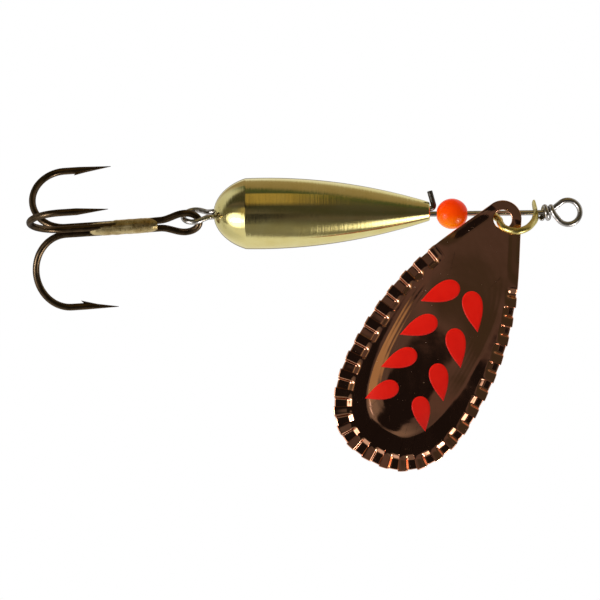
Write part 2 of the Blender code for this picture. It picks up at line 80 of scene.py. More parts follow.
# Turned weight
WEIGHT_REAR_X = -45.96
WEIGHT_LENGTH = 28.1
WEIGHT_AXIS_Z = LEG_SPACING / 2
WEIGHT_NOSE_REACH = 7.0
WEIGHT_SHOULDER = 4.2
WEIGHT_WIDEST = 6.3
WEIGHT_RADIUS = 4.64
WEIGHT_FRONT_RADIUS = 1.2
WEIGHT_BORE_RADIUS = 0.80
WEIGHT_CHAMFER = 0.12
WEIGHT_EDGE = 0.06
WEIGHT_REAR_EDGE = (0.08, 0.10)
LATHE_PITCH = 0.17
LATHE_DEPTH = 0.0025
LATHE_ALLOWANCE = 0.003

# Bead
BEAD_CENTRE_X = -14.95
BEAD_RADIUS = 1.98
BEAD_HALF_LENGTH = 2.06
BEAD_BORE_RADIUS = 0.47
BEAD_LAND = 0.07
BEAD_EDGE = ((0.02, 0.02), (0.12, 0.0))

# Clevis
CLEVIS_TILT = -52.0
CLEVIS_WIRE_RADIUS = 0.45
CLEVIS_FRONT_X = -4.05
EAR_HALF_THICKNESS = 0.23
EAR_HALF_WIDTH = 0.98
EAR_BORE_RADIUS = 0.47
EAR_TOP = 2.2
REAR_EAR_TOP = 1.45
EAR_FADE = (0.25, 0.75)
REAR_EAR_FADE = (0.10, 0.65)
CLEVIS_CENTRES = (
    (-5.61, -REAR_EAR_TOP), (-5.60, -0.90), (-5.58, 0.00), (-5.40, 0.55), (-5.12, 1.00),
    (-4.80, 1.55), (-4.70, 2.25), (-4.14, 3.30), (-2.70, 3.92), (-1.34, 3.32),
    (-0.42, 2.00), (-0.08, 0.90), (0.00, 0.00), (-0.12, -1.20), (-0.24, -EAR_TOP),
)

# Blade, drawn in its own plane: x from the hole to the far end, y across, z to the domed side
BLADE_TURN = 119.5
BLADE_PIVOT = Vector((-8.84, -1.20, -0.94))
PIVOT_IN_BLADE = (0.32, -0.29)
BLADE_THICKNESS = 0.45
TAB_RADIUS = 2.45
HOLE_RADIUS = 1.20
HOLE_EDGE = 0.1
BLADE_TIP = 35.84
BLADE_HALF_WIDTH = 9.25
BLADE_WIDEST = 23.4
BLADE_END_SQUARENESS = 2.4
SIDE_HANDLES = ((-1.13, 2.17), (5.6, 5.3), (11.5, 9.35))
PLAIN_POINTS = 120
RIM_EDGE = 0.12
RIM_ROUNDING = 0.09
RIM_REACH = 2.5
RIM_ROWS = 22
DOME_ROWS = 46
DOME_ROW_SPACING = 1.3
CRIMP_START = 6.9
CRIMPS = 27
CRIMP_PROFILE = ((0.0, -0.38), (0.40, -0.40), (0.525, -0.12), (0.965, -0.01), (1.0, -0.38))
CRIMP_SAMPLES = 6
CRIMP_SHIFT = 0.02
CRIMP_UNEVEN = 0.12
CRIMP_BAND = 1.5
CRIMP_BAND_GAIN = 0.85
CRIMP_BAND_LOSS = 0.3
CRIMP_WALL = 0.62
CRIMP_FADE_IN = 0.3
CRIMP_FADE_OUT = 0.25
CRIMP_BULGE = 0.10
CRIMP_BULGE_LEVEL = 0.2
CRIMP_BULGE_REACH = 1.2
DOME_CENTRE = 19.0
DOME_FAR_LENGTH = 12.5
DOME_NEAR_LENGTH = 14.5
DOME_HALF_WIDTH = 5.85
DOME_SQUARENESS = 2.4
DOME_HEIGHT = 0.55
DOME_SIDE_FULLNESS = 3.6
DOME_FAR_FULLNESS = 9.0
DOME_NEAR_FULLNESS = 3.0
DOME_SOFTNESS = 0.10
DOME_NEAR_SOFTNESS = 0.4
DOME_SOFT_START = 13.0
DOME_SOFT_LENGTH = 8.0
DOME_RISE_START = 4.0
DOME_RISE_LENGTH = 13.0
RIPPLE_PITCH = 0.085
RIPPLE_HEIGHT = 0.006
RIPPLE_START = 0.62
RIPPLE_END = 0.98
RIPPLE_FADE = 0.1
BOW_START = 3.0
BOW_DEPTH = 1.2
TAB_ROLL = 0.28
TAB_ROLL_WIDTH = 1.6
TAB_ROLL_START = -1.0
TAB_ROLL_FADE_IN = 2.0
TAB_ROLL_FADE_OUT = 3.0
TAB_BLEND = 4.0
TAB_SIDE_COSINE = 0.9
WAVE_HEIGHT = 0.024
WAVE_SCALE = 0.32
WAVE_START = 3.0
WAVE_FADE = 4.0

# Painted drops: (along, across, length, width) of each pair, and their angle
DROPS = (
    (12.35, 2.50, 5.45, 2.67), (17.55, 2.85, 5.25, 2.60),
    (22.5, 3.05, 5.03, 2.50), (27.2, 3.00, 4.68, 2.37),
)
DROP_ANGLE = 39.5
DROP_LIFT = 0.035
DROP_SINK = 0.01
DROP_TIP_SHARPNESS = 1.2
DROP_MIDDLE = -0.25
DROP_ROWS = 7

# Treble hook, in a frame whose x runs forward along the shanks
HOOK_TILT = -3.0
HOOK_AXIS_Y = -0.46
HOOK_AXIS_Z = -0.75
HOOK_WIRE_RADIUS = 0.45
HOOK_BUNDLE_RADIUS = 0.555
HOOK_ROLL = 11.5
HOOK_POINT_RADIUS = 10.55
HOOK_BEND_X = -15.35
HOOK_BEND_DEPTH = 4.3
HOOK_POINT_X = -9.25
HOOK_POINT_TAPER = 4.1
HOOK_TIP_RADIUS = 0.035
HOOK_POINT_LIFT = 0.8
HOOK_EYE_X = 0.2
HOOK_EYE_FRONT = 1.85
HOOK_EYE_REAR = 3.3
HOOK_EYE_HALF_HEIGHT = 1.33
HOOK_EYE_TWIST = -25.0
HOOK_SHANKS_PART_X = -6.2
HOOK_SINGLE_FRONT_X = -6.6
BARB_X = -14.1
BARB_SECTIONS = ((0.0, -0.36, 0.06), (0.55, 0.16, 0.24), (0.75, 0.30, 0.26), (2.6, 0.42, 0.14))
BRAZE_FRONT_X = -3.4
BRAZE_REAR_X = -12.2
BRAZE_GROOVE_RADIUS = 0.94
BRAZE_LARGEST_RADIUS = 1.05
BRAZE_WASH = 0.022
BRAZE_REAR_THINNING = 0.05
BRAZE_LUMPS = 0.035
BRAZE_GROOVE_LUMPS = 0.03
BRAZE_END_SHARE = 0.72
BRAZE_BARE_SHARE = 0.2
BRAZE_THIN_END = 0.25
BRAZE_BARE_END = 0.40

# Studio
FLOOR_Z = -62.0
FLOOR_RADIUS = 130.0
LAMP_PLACE = (-300, -220, 420)
LAMP_AIM = (-35, 0, -10)
LAMP_SIZE = 300.0
LAMP_POWER = 1.6
WALLS_COLOUR = (0.62, 0.62, 0.60)
WARM_COLOUR = (0.42, 0.29, 0.09)
PALE = (0.80, 0.79, 0.76)
DARK = (0.012, 0.011, 0.011)

# Light of the room by angle above (+) or below (-) the camera, seen from the lure
ROOM = (
    (-180, PALE),
    (-83, (0.78, 0.77, 0.74)),
    (-80.5, (0.19, 0.18, 0.155)),
    (-64, (0.20, 0.19, 0.165)),
    (-42, (0.22, 0.21, 0.175)),
    (-24, (0.12, 0.115, 0.10)),
    (-14, (0.085, 0.075, 0.07)),
    (-8, (0.10, 0.085, 0.075)),
    (-3, (0.115, 0.090, 0.078)),
    (2, (0.092, 0.080, 0.070)),
    (8, (0.055, 0.050, 0.036)),
    (24, (0.050, 0.049, 0.030)),
    (36, (0.066, 0.058, 0.045)),
    (66, (0.075, 0.070, 0.045)),
    (71, (0.05, 0.07, 0.03)),
    (84, (0.06, 0.08, 0.035)),
    (90, (0.28, 0.21, 0.125)),
    (128, (0.33, 0.26, 0.16)),
    (140, PALE),
    (180, PALE),
)
ROOM_ROLL = 65.0

# Share of the warm colour by the same angle
WARM = ((22, 0.0), (36, 1.0), (65, 1.0), (69, 0.0))

# Lamps and dark patches of the room: aim, cosines where each begins and is full, colour
PATCHES = (
    ((-0.57, -0.81, 0.10), 0.96, 0.988, (0.42, 0.34, 0.18)),
    ((-0.28, -0.866, 0.415), 0.972, 0.988, DARK),
    ((-0.077, -0.980, -0.182), 0.981, 0.992, DARK),
    ((-0.17, -0.93, -0.33), 0.985, 0.994, DARK),
    ((-0.25, -0.87, -0.42), 0.975, 0.988, DARK),
    ((-0.97, -0.20, -0.10), 0.90, 0.95, (0.12, 0.11, 0.07)),
    ((0.0, 1.0, 0.0), 0.89, 0.96, (0.20, 0.18, 0.16)),
    ((-0.80, -0.49, -0.32), 0.91, 0.962, (2.8, 2.75, 2.65)),
    ((-0.80, -0.49, -0.32), 0.994, 0.998, (30.0, 29.0, 28.0)),
    ((0.60, -0.30, -0.74), 0.925, 0.97, (2.9, 2.8, 2.6)),
    ((0.60, -0.30, -0.74), 0.994, 0.998, (30.0, 29.0, 28.0)),
)


# ---- mesh helpers


def ease(amount):
    """0 to 1 with level ends."""
    amount = min(max(amount, 0.0), 1.0)
    return amount * amount * (3 - 2 * amount)


def smooth_path(points, steps):
    """A Catmull-Rom curve through the points, with this many steps between neighbours."""
    points = [Vector(point) for point in points]
    padded = [2 * points[0] - points[1], *points, 2 * points[-1] - points[-2]]
    path = []
    for i in range(1, len(padded) - 2):
        a, b, c, d = padded[i - 1 : i + 3]
        for step in range(steps):
            u = step / steps
            square = 2 * a - 5 * b + 4 * c - d
            cube = 3 * b - a - 3 * c + d
            path.append(b + 0.5 * ((c - a) * u + square * u**2 + cube * u**3))
    path.append(points[-1])
    return path


def shade(data, sharp):
    data.shade_smooth()
    data.set_sharp_from_angle(angle=radians(sharp))


def object_from(name, mesh, material, matrix=Matrix.Identity(4), sharp=50):
    """A Blender object from a bmesh drawn in millimetres, moved by a matrix in millimetres."""
    mesh.transform(Matrix.Scale(MM, 4) @ matrix)
    bmesh.ops.recalc_face_normals(mesh, faces=mesh.faces)
    data = bpy.data.meshes.new(name)
    mesh.to_mesh(data)
    mesh.free()
    shade(data, sharp)
    data.materials.append(material)
    obj = bpy.data.objects.new(name, data)
    bpy.context.scene.collection.objects.link(obj)
    return obj


def combine(obj, other, operation):
    """Joins the other shape on, or takes it away, for good."""
    boolean = obj.modifiers.new(other.name, "BOOLEAN")
    boolean.operation = operation
    boolean.solver = "EXACT"
    boolean.object = other
    done = bpy.data.meshes.new_from_object(obj.evaluated_get(bpy.context.evaluated_depsgraph_get()))
    obj.modifiers.clear()
    old = obj.data
    obj.data = done
    bpy.data.meshes.remove(old)
    bpy.data.objects.remove(other, do_unlink=True)


def rotation(degrees, axis):
    return Matrix.Rotation(radians(degrees), 4, axis)


def place(obj, body, slot, *nodes):
    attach(obj, body)
    if nodes:
        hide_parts(*nodes)


def circle(count):
    """Evenly spaced angles once round, in radians."""
    return [2 * pi * k / count for k in range(count)]


def stitch(mesh, rings, caps=False):
    """Faces between each ring of points and the next, and flat faces over both ends."""
    for near, far in zip(rings, rings[1:]):
        for k, point in enumerate(near):
            after = (k + 1) % len(near)
            mesh.faces.new((point, near[after], far[after], far[k]))
    if caps:
        mesh.faces.new(rings[0])
        mesh.faces.new(rings[-1])


def fan(mesh, ring, point):
    """Closes a ring with triangles that meet in a point."""
    middle = mesh.verts.new(point)
    for k, corner in enumerate(ring):
        mesh.faces.new((corner, ring[(k + 1) % len(ring)], middle))


def swept_mesh(centres, sizes, first_normal, sides):
    """A bar along a path. Each size is the section's half extent along its normal and across it."""
    mesh = bmesh.new()
    layer = mesh.loops.layers.uv.new("along")
    normal = Vector(first_normal)
    rings = []
    lengths = [0.0]
    last = len(centres) - 1
    for i, (centre, (along, across)) in enumerate(zip(centres, sizes)):
        tangent = (centres[min(i + 1, last)] - centres[max(i - 1, 0)]).normalized()
        normal = (normal - normal.dot(tangent) * tangent).normalized()
        sideways = tangent.cross(normal)
        ring = []
        for turn in circle(sides):
            offset = normal * (along * cos(turn)) + sideways * (across * sin(turn))
            ring.append(mesh.verts.new(centre + offset))
        rings.append(ring)
        if i:
            lengths.append(lengths[-1] + (centre - centres[i - 1]).length)
    stitch(mesh, rings, caps=True)
    for face_number, face in enumerate(list(mesh.faces)[:-2]):
        i, k = divmod(face_number, sides)
        corners = ((k, i), (k + 1, i), (k + 1, i + 1), (k, i + 1))
        for loop, (turn, row) in zip(face.loops, corners):
            loop[layer].uv = (turn / sides, lengths[row])
    return mesh


def turned_mesh(outline, steps):
    """A closed outline of (x, radius) points turned about the X axis."""
    mesh = bmesh.new()
    rings = []
    for x, radius in outline:
        points = [(x, radius * cos(turn), radius * sin(turn)) for turn in circle(steps)]
        rings.append([mesh.verts.new(point) for point in points])
    stitch(mesh, rings + rings[:1])
    return mesh


def rounded_ends(centres, radius, cut):
    """A round wire's path and sizes, with a small rounded edge at both cut ends."""
    first, last = centres[0], centres[-1]
    inner_first = (centres[1] - first).normalized() * cut
    inner_last = (centres[-2] - last).normalized() * cut
    path = [first, first + inner_first * 0.3, first + inner_first, *centres[1:-1]]
    path += [last + inner_last, last + inner_last * 0.3, last]
    sizes = [(radius, radius)] * len(path)
    for i, share in ((0, 0.72), (1, 0.93), (-1, 0.72), (-2, 0.93)):
        sizes[i] = (radius * share, radius * share)
    return path, sizes


# ---- materials


def shader(name):
    material = bpy.data.materials.new(name)
    material.use_nodes = True
    return material, material.node_tree


def plug(tree, node, inputs):
    """Links the sockets among these inputs and sets the plain values."""
    for key, value in inputs.items():
        if isinstance(value, bpy.types.NodeSocket):
            tree.links.new(value, node.inputs[key])
        else:
            node.inputs[key].default_value = value
    return node


def finish(material, look):
    """Gives the material's surface these values and links."""
    tree = material.node_tree
    plug(tree, tree.nodes["Principled BSDF"], look)
    return material


def add(tree, kind, inputs=None, **settings):
    """A node with its settings, its values and its links."""
    made = tree.nodes.new(kind)
    for key, value in settings.items():
        setattr(made, key, value)
    return plug(tree, made, inputs or {})


def coordinates(tree, stretch=(1, 1, 1), source="Object"):
    """Object coordinates in millimetres, or the wire's own (turn, length), multiplied by stretch."""
    unit = 1 if source == "UV" else 1 / MM
    point = add(tree, "ShaderNodeTexCoord")
    scale = [unit * value for value in stretch]
    return add(tree, "ShaderNodeMapping", {"Vector": point.outputs[source], "Scale": scale}).outputs[0]


def noise_of(tree, scale, detail, roughness=0.55, stretch=(1, 1, 1), source="Object"):
    vector = coordinates(tree, stretch, source)
    inputs = {"Vector": vector, "Scale": scale, "Detail": detail, "Roughness": roughness}
    return add(tree, "ShaderNodeTexNoise", inputs).outputs["Fac"]


def ramp(tree, factor, stops, easing="LINEAR"):
    """A colour or a grey for each place between 0 and 1."""
    made = add(tree, "ShaderNodeValToRGB", {"Fac": factor})
    made.color_ramp.interpolation = easing
    elements = made.color_ramp.elements
    while len(elements) < len(stops):
        elements.new(0.5)
    for element, (place_at, colour) in zip(elements, stops):
        element.position = place_at
    for element, (place_at, colour) in zip(elements, stops):
        grey = isinstance(colour, (int, float))
        element.color = (colour, colour, colour, 1) if grey else (*colour, 1)
    return made.outputs["Color"]


def mixed(tree, factor, first, second):
    inputs = {0: factor}
    for key, colour in ((6, first), (7, second)):
        inputs[key] = colour if isinstance(colour, bpy.types.NodeSocket) else (*colour, 1)
    return add(tree, "ShaderNodeMix", inputs, data_type="RGBA").outputs[2]


def math_of(tree, operation, *values, clamp=False):
    inputs = dict(enumerate(values))
    return add(tree, "ShaderNodeMath", inputs, operation=operation, use_clamp=clamp).outputs[0]


def times(tree, first, second):
    return math_of(tree, "MULTIPLY", first, second)


def bump(tree, height, depth, normal=None):
    """Depth is in millimetres."""
    inputs = {"Height": height, "Distance": depth * MM}
    if normal:
        inputs["Normal"] = normal
    return add(tree, "ShaderNodeBump", inputs).outputs["Normal"]


def turned_brass():
    """Polished brass off a lathe: fine rings round X, faint tarnish and a few nicks."""
    material, tree = shader("turned_brass")
    patches = noise_of(tree, 0.35, 4)
    rings = noise_of(tree, 4.2, 3, 0.7, stretch=(1, 0.015, 0.015))
    broad = noise_of(tree, 1.6, 2, stretch=(1, 0.05, 0.05))
    nicks = ramp(tree, noise_of(tree, 5.0, 2), ((0.70, 0.0), (0.76, 1.0)))
    colour = ramp(tree, patches, ((0.3, (0.80, 0.68, 0.27)), (0.7, (0.86, 0.77, 0.36))))
    zones = noise_of(tree, 0.23, 1, stretch=(1, 0.02, 0.02))
    zones = ramp(tree, zones, ((0.38, 0.35), (0.58, 1.0)))
    normal = bump(tree, times(tree, rings, zones), 0.02)
    return finish(material, {
        "Base Color": mixed(tree, times(tree, nicks, 0.3), colour, (0.45, 0.38, 0.15)),
        "Metallic": 1.0,
        "Roughness": math_of(tree, "MULTIPLY_ADD", rings, 0.10, 0.08),
        "Anisotropic": 0.9,
        "Anisotropic Rotation": 0.25,
        "Tangent": add(tree, "ShaderNodeTangent", direction_type="RADIAL", axis="X").outputs["Tangent"],
        "Normal": bump(tree, broad, 0.004, normal),
    })


def drawn_wire(name, dark, light, low, high, depth, worn=0.0):
    """Wire pulled through a die: streaks along it, darker spots, and a first stretch marked by pliers."""
    material, tree = shader(name)
    streaks = noise_of(tree, 2.2, 3, 0.6, stretch=(7, 0.12, 1), source="UV")
    spots = noise_of(tree, 0.9, 4, 0.6)
    both = times(tree, streaks, 0.55)
    both = math_of(tree, "ADD", both, times(tree, spots, 0.45))
    colour = ramp(tree, both, ((0.36, dark), (0.62, light)))
    rough = ramp(tree, spots, ((0.3, low), (0.7, high)))
    if worn:
        place_on_wire = add(tree, "ShaderNodeTexCoord").outputs["UV"]
        length = add(tree, "ShaderNodeSeparateXYZ", {"Vector": place_on_wire}).outputs["Y"]
        marked = math_of(tree, "LESS_THAN", length, worn)
        colour = mixed(tree, marked, colour, (0.13, 0.12, 0.11))
        rough = math_of(tree, "MAXIMUM", rough, times(tree, marked, 0.5))
    return finish(material, {
        "Base Color": colour,
        "Metallic": 1.0,
        "Roughness": rough,
        "Specular Tint": (0.5, 0.5, 0.5, 1),
        "Normal": bump(tree, streaks, depth),
    })


def bead_plastic():
    """Translucent orange with faint flow lines. Paler orange low down and deeper red at the top is painted
    light and shade, and the red glow is painted light.
    """
    material, tree = shader("bead_plastic")
    flow = noise_of(tree, 0.9, 3, stretch=(0.5, 1, 1))
    # Painted light and shade: the colour runs from paler orange lower down, where the lamps fall, to
    # deeper red towards the top.
    height = add(tree, "ShaderNodeSeparateXYZ", {"Vector": coordinates(tree)}).outputs["Z"]
    share = math_of(tree, "MULTIPLY_ADD", height, 0.22, 0.5)
    share = math_of(tree, "ADD", share, times(tree, flow, 0.3))
    stops = ((0.20, (0.95, 0.42, 0.001)), (0.60, (0.84, 0.10, 0.001)), (0.95, (0.70, 0.045, 0.001)))
    return finish(material, {
        "Base Color": ramp(tree, share, stops),
        "Roughness": 0.06,
        "IOR": 1.28,
        "Transmission Weight": 0.1,
        # Painted light: a red glow that brightens the bead, which gives no light of its own.
        "Emission Color": (1.0, 0.03, 0.0, 1),
        "Emission Strength": 0.3,
        "Normal": bump(tree, flow, 0.006),
    })


def bright_brass():
    """The clevis: smooth folded brass with faint handling marks."""
    material, tree = shader("bright_brass")
    patches = noise_of(tree, 1.1, 4)
    streaks = noise_of(tree, 2.0, 3, stretch=(7, 0.7, 1), source="UV")
    return finish(material, {
        "Base Color": ramp(tree, patches, ((0.3, (0.66, 0.52, 0.13)), (0.7, (0.86, 0.74, 0.30)))),
        "Metallic": 1.0,
        "Roughness": ramp(tree, streaks, ((0.3, 0.26), (0.7, 0.38))),
        "Normal": bump(tree, streaks, 0.002),
    })


def specks(tree, scale, size, share):
    """1 inside the small round cells of a pattern, times a share, and 0 outside them."""
    cells = add(tree, "ShaderNodeTexVoronoi", {"Vector": coordinates(tree), "Scale": scale})
    return times(tree, math_of(tree, "LESS_THAN", cells.outputs["Distance"], size), share)


def plated_copper():
    """Dark mirror plating: broad tone changes, dust specks, hairline scratches and a soft ripple."""
    material, tree = shader("plated_copper")
    tone = noise_of(tree, 0.16, 4)
    colour = ramp(tree, tone, ((0.3, (0.74, 0.36, 0.22)), (0.7, (0.84, 0.42, 0.27))))
    chance = noise_of(tree, 0.9, 2)
    dust = specks(tree, 0.62, 0.045, math_of(tree, "GREATER_THAN", chance, 0.5))
    lint = specks(tree, 1.5, 0.07, ramp(tree, chance, ((0.45, 0.0), (0.6, 0.6))))
    faint = times(tree, math_of(tree, "MAXIMUM", dust, lint), 0.5)
    smear = noise_of(tree, 0.55, 4, 0.6, stretch=(1, 1, 0.35))
    rough = ramp(tree, smear, ((0.35, 0.045), (0.72, 0.12)))
    ripple = noise_of(tree, 0.42, 2)
    scratches = noise_of(tree, 2.5, 2, stretch=(6, 1, 0.4))
    scratches = ramp(tree, scratches, ((0.72, 0.0), (0.76, 1.0)))
    return finish(material, {
        "Base Color": mixed(tree, faint, colour, (0.95, 0.85, 0.78)),
        "Metallic": 1.0,
        "Roughness": math_of(tree, "ADD", rough, faint, clamp=True),
        "Normal": bump(tree, scratches, 0.0012, bump(tree, ripple, 0.012)),
    })


def drop_lacquer():
    """Opaque red lacquer with a faint orange-peel surface, and a faint red glow that is painted light."""
    material, tree = shader("drop_lacquer")
    tone = noise_of(tree, 0.5, 3)
    return finish(material, {
        "Base Color": ramp(tree, tone, ((0.3, (0.84, 0.010, 0.005)), (0.7, (0.92, 0.016, 0.007)))),
        "Roughness": 0.38,
        "Specular IOR Level": 0.25,
        # Painted light: a faint red glow that brightens the drops, which give no light of their own.
        "Emission Color": (1.0, 0.01, 0.005, 1),
        "Emission Strength": 0.12,
        "Normal": bump(tree, noise_of(tree, 3.0, 2), 0.004),
    })


def brazed_metal():
    """Filler metal: gold where it is thick, brown where it thins over the bronze."""
    material, tree = shader("brazed_metal")
    mottle = noise_of(tree, 0.9, 5, 0.7)
    fine = noise_of(tree, 4.5, 3)
    stops = ((0.30, (0.22, 0.14, 0.06)), (0.42, (0.50, 0.36, 0.15)), (0.58, (0.72, 0.58, 0.30)))
    return finish(material, {
        "Base Color": ramp(tree, mottle, stops),
        "Metallic": 1.0,
        "Roughness": ramp(tree, fine, ((0.3, 0.24), (0.7, 0.5))),
        "Normal": bump(tree, fine, 0.03),
    })


# ---- shaft wire


def loop_point(x, side):
    """A point of the rear loop's tilted plane, `side` millimetres from its middle line."""
    twist = radians(LOOP_TILT) * ease((LOOP_FRONT_X + 0.6 - x) / LOOP_TWIST_LENGTH)
    along = min(max((LOOP_FRONT_X - x) / (LOOP_FRONT_X - LOOP_REAR_X), 0.0), 1.0)
    y = side * sin(twist) + LOOP_BACK * along
    z = WEIGHT_AXIS_Z + side * cos(twist) + (LOOP_REAR_Z - WEIGHT_AXIS_Z) * along
    return Vector((x, y, z))


def loop_outline(start, bend, reach, near, far, leg_steps, arc_steps):
    """(x, side) points of a loop: its legs part from near to far, and an arc goes past the bend."""
    leg = []
    for i in range(leg_steps):
        part = i / leg_steps
        leg.append((start + (bend - start) * part, near + (far - near) * (1 - cos(pi * part)) / 2))
    turns = [pi * i / arc_steps for i in range(arc_steps + 1)]
    arc = [(bend + reach * sin(turn), far * cos(turn)) for turn in turns]
    return leg + arc + [(x, -side) for x, side in reversed(leg)]


def rear_loop_points():
    """From the return leg, round the rear, to the main leg."""
    bend = LOOP_REAR_X + LOOP_REAR_LENGTH
    near = LEG_SPACING / 2
    outline = loop_outline(LOOP_FRONT_X, bend, -LOOP_REAR_LENGTH, near, LOOP_HALF_HEIGHT, 28, 48)
    return [loop_point(x, side) for x, side in outline]


def tag_points():
    """From the cut tip of the tag, round its bend, to the return leg in the weight's bore."""
    front = WEIGHT_REAR_X + WEIGHT_LENGTH
    centre = Vector((front + TAG_AHEAD, 0, LEG_SPACING + TAG_BEND_RADIUS))
    lean = radians(TAG_LEAN)
    bend = []
    for i in range(17):
        turn = lean + (-pi / 2 - lean) * i / 16
        bend.append(centre + TAG_BEND_RADIUS * Vector((cos(turn), 0, sin(turn))))
    along = Vector((-sin(lean), 0, cos(lean)))
    return [bend[0] + along * TAG_LENGTH * (1 - i / 6) for i in range(6)] + bend


def eye_point(turn, y):
    return Vector((EYE_CENTRE_X + EYE_RADIUS * cos(turn), y, EYE_RADIUS * sin(turn)))


def eye_points():
    """The line-tie eye: up a straight slope, over the top and round to where the wire crosses in front."""
    leave = radians(EYE_SLOPE + 90)
    top = eye_point(leave, 0)
    down = Vector((-sin(leave), 0, cos(leave)))
    foot = top + down * ((top.z - EYE_FOOT_Z) / -down.z)
    points = smooth_path(((-3.1, 0, 0), (-2.75, 0, 0.0), (foot.x - 0.28, 0, 0.06), foot), 5)[:-1]
    points += spread(foot, top, 8)
    first = EYE_SLOPE + 90
    count = 76
    for i in range(count):
        share = i / count
        turn = radians(first + (EYE_LAST_TURN - first) * share)
        y = -WRAP_RADIUS * ease((share - 0.1) / 0.9)
        points.append(eye_point(turn, y))
    start = wrap_points()
    points += smooth_path((points[-1], (-1.66, -WRAP_RADIUS - 0.03, -0.30), start[0], start[1]), 8)[1:-9]
    return points


def wrap_points():
    """The wraps round the shaft, ending in the cut tail."""
    points = []
    count = 90
    for i in range(count + 1):
        degrees = WRAP_START_TURN + (WRAP_END_TURN - WRAP_START_TURN) * i / count
        turn = radians(degrees)
        x = WRAP_START_X - WRAP_PITCH * (degrees - WRAP_START_TURN) / 360
        points.append(Vector((x, -WRAP_RADIUS * cos(turn), WRAP_RADIUS * sin(turn))))
    return points


def spread(first, last, count):
    """Points from first up to last, which is left out."""
    return [Vector(first).lerp(Vector(last), i / count) for i in range(count)]


def make_shaft_wire(steel):
    front = WEIGHT_REAR_X + WEIGHT_LENGTH
    centres = tag_points()
    centres += spread((front - 0.3, 0, LEG_SPACING), (LOOP_FRONT_X, 0, LEG_SPACING), 24)
    centres += rear_loop_points()
    centres += spread((LOOP_FRONT_X + 0.4, 0, 0), (-3.2, 0, 0), 44)
    centres += eye_points()
    centres += wrap_points()
    path, sizes = rounded_ends(centres, WIRE_RADIUS, 0.09)
    wire = object_from("wire_shaft", swept_mesh(path, sizes, (0, 1, 0), 20), steel)
    place(wire, "shaft", "steel_wire", "shaft_wire")


# ---- weight and bead


def lathe_ripple(x):
    """Tool marks left on the turned surface."""
    uneven = 0.6 + 0.4 * sin(x * 2.3) * sin(x * 0.71 + 1)
    return LATHE_DEPTH * uneven * sin(2 * pi * x / LATHE_PITCH)


def weight_outline():
    """Closed outline from the rear bore edge, round the ball end, along the taper and down the bore."""
    outline = []
    fall = (WEIGHT_RADIUS - WEIGHT_FRONT_RADIUS) / (WEIGHT_LENGTH - WEIGHT_WIDEST) ** 2
    shoulder_radius = WEIGHT_RADIUS - fall * (WEIGHT_SHOULDER - WEIGHT_WIDEST) ** 2
    last = acos(1 - WEIGHT_SHOULDER / WEIGHT_NOSE_REACH)
    nose_radius = shoulder_radius / sin(last)
    first = asin((WEIGHT_BORE_RADIUS + WEIGHT_REAR_EDGE[1]) / nose_radius)
    dome = 44
    for i in range(dome + 1):
        turn = first + (last - first) * i / dome
        outline.append((WEIGHT_NOSE_REACH * (1 - cos(turn)), nose_radius * sin(turn)))
    straight = WEIGHT_LENGTH - WEIGHT_CHAMFER - WEIGHT_SHOULDER
    taper = round(straight / LATHE_PITCH * 4)
    for i in range(1, taper + 1):
        x = WEIGHT_SHOULDER + straight * i / taper
        radius = WEIGHT_RADIUS - fall * (x - WEIGHT_WIDEST) ** 2
        outline.append((x, radius - LATHE_ALLOWANCE + lathe_ripple(x)))
    for i in range(1, 5):
        turn = pi / 2 * i / 4
        x = WEIGHT_LENGTH - WEIGHT_CHAMFER * (1 - sin(turn))
        outline.append((x, WEIGHT_FRONT_RADIUS - WEIGHT_CHAMFER * (1 - cos(turn))))
    outline.append((WEIGHT_LENGTH, WEIGHT_BORE_RADIUS + WEIGHT_EDGE))
    outline.append((WEIGHT_LENGTH - WEIGHT_EDGE, WEIGHT_BORE_RADIUS))
    outline.append((outline[0][0] + WEIGHT_REAR_EDGE[0], WEIGHT_BORE_RADIUS))
    return outline


def make_weight(brass):
    matrix = Matrix.Translation((WEIGHT_REAR_X, 0, WEIGHT_AXIS_Z))
    weight = object_from("turned_weight", turned_mesh(weight_outline(), 128), brass, matrix)
    place(weight, "shaft", "body_brass", "body_weight")


def make_bead(orange):
    outline = []
    reach = acos((BEAD_BORE_RADIUS + BEAD_LAND) / BEAD_RADIUS)
    count = 64
    for i in range(count + 1):
        turn = -reach + 2 * reach * i / count
        outline.append((BEAD_HALF_LENGTH * sin(turn), BEAD_RADIUS * cos(turn)))
    end = BEAD_HALF_LENGTH * sin(reach)
    edge = [(end - inset, BEAD_BORE_RADIUS + lift) for inset, lift in BEAD_EDGE]
    outline += edge + [(-x, radius) for x, radius in reversed(edge)]
    matrix = Matrix.Translation((BEAD_CENTRE_X, 0, 0))
    bead = object_from("orange_bead", turned_mesh(outline, 96), orange, matrix)
    place(bead, "bead", "bead_orange", "bead")


# ---- clevis


def clevis_section(depth, rear):
    """Half extents of the wire, which is flat in the ears and round below them."""
    top = REAR_EAR_TOP if rear else EAR_TOP
    start, length = REAR_EAR_FADE if rear else EAR_FADE
    round_share = ease((depth - start) / length)
    thick = EAR_HALF_THICKNESS + (CLEVIS_WIRE_RADIUS - EAR_HALF_THICKNESS) * round_share
    wide = EAR_HALF_WIDTH + (CLEVIS_WIRE_RADIUS - EAR_HALF_WIDTH) * round_share
    beyond = min(max(EAR_HALF_WIDTH - top - depth, 0.0) / EAR_HALF_WIDTH, 1.0)
    wide *= sqrt(max(1 - beyond * beyond, 0.02))
    thick *= 1 - 0.35 * beyond**6
    return thick, wide


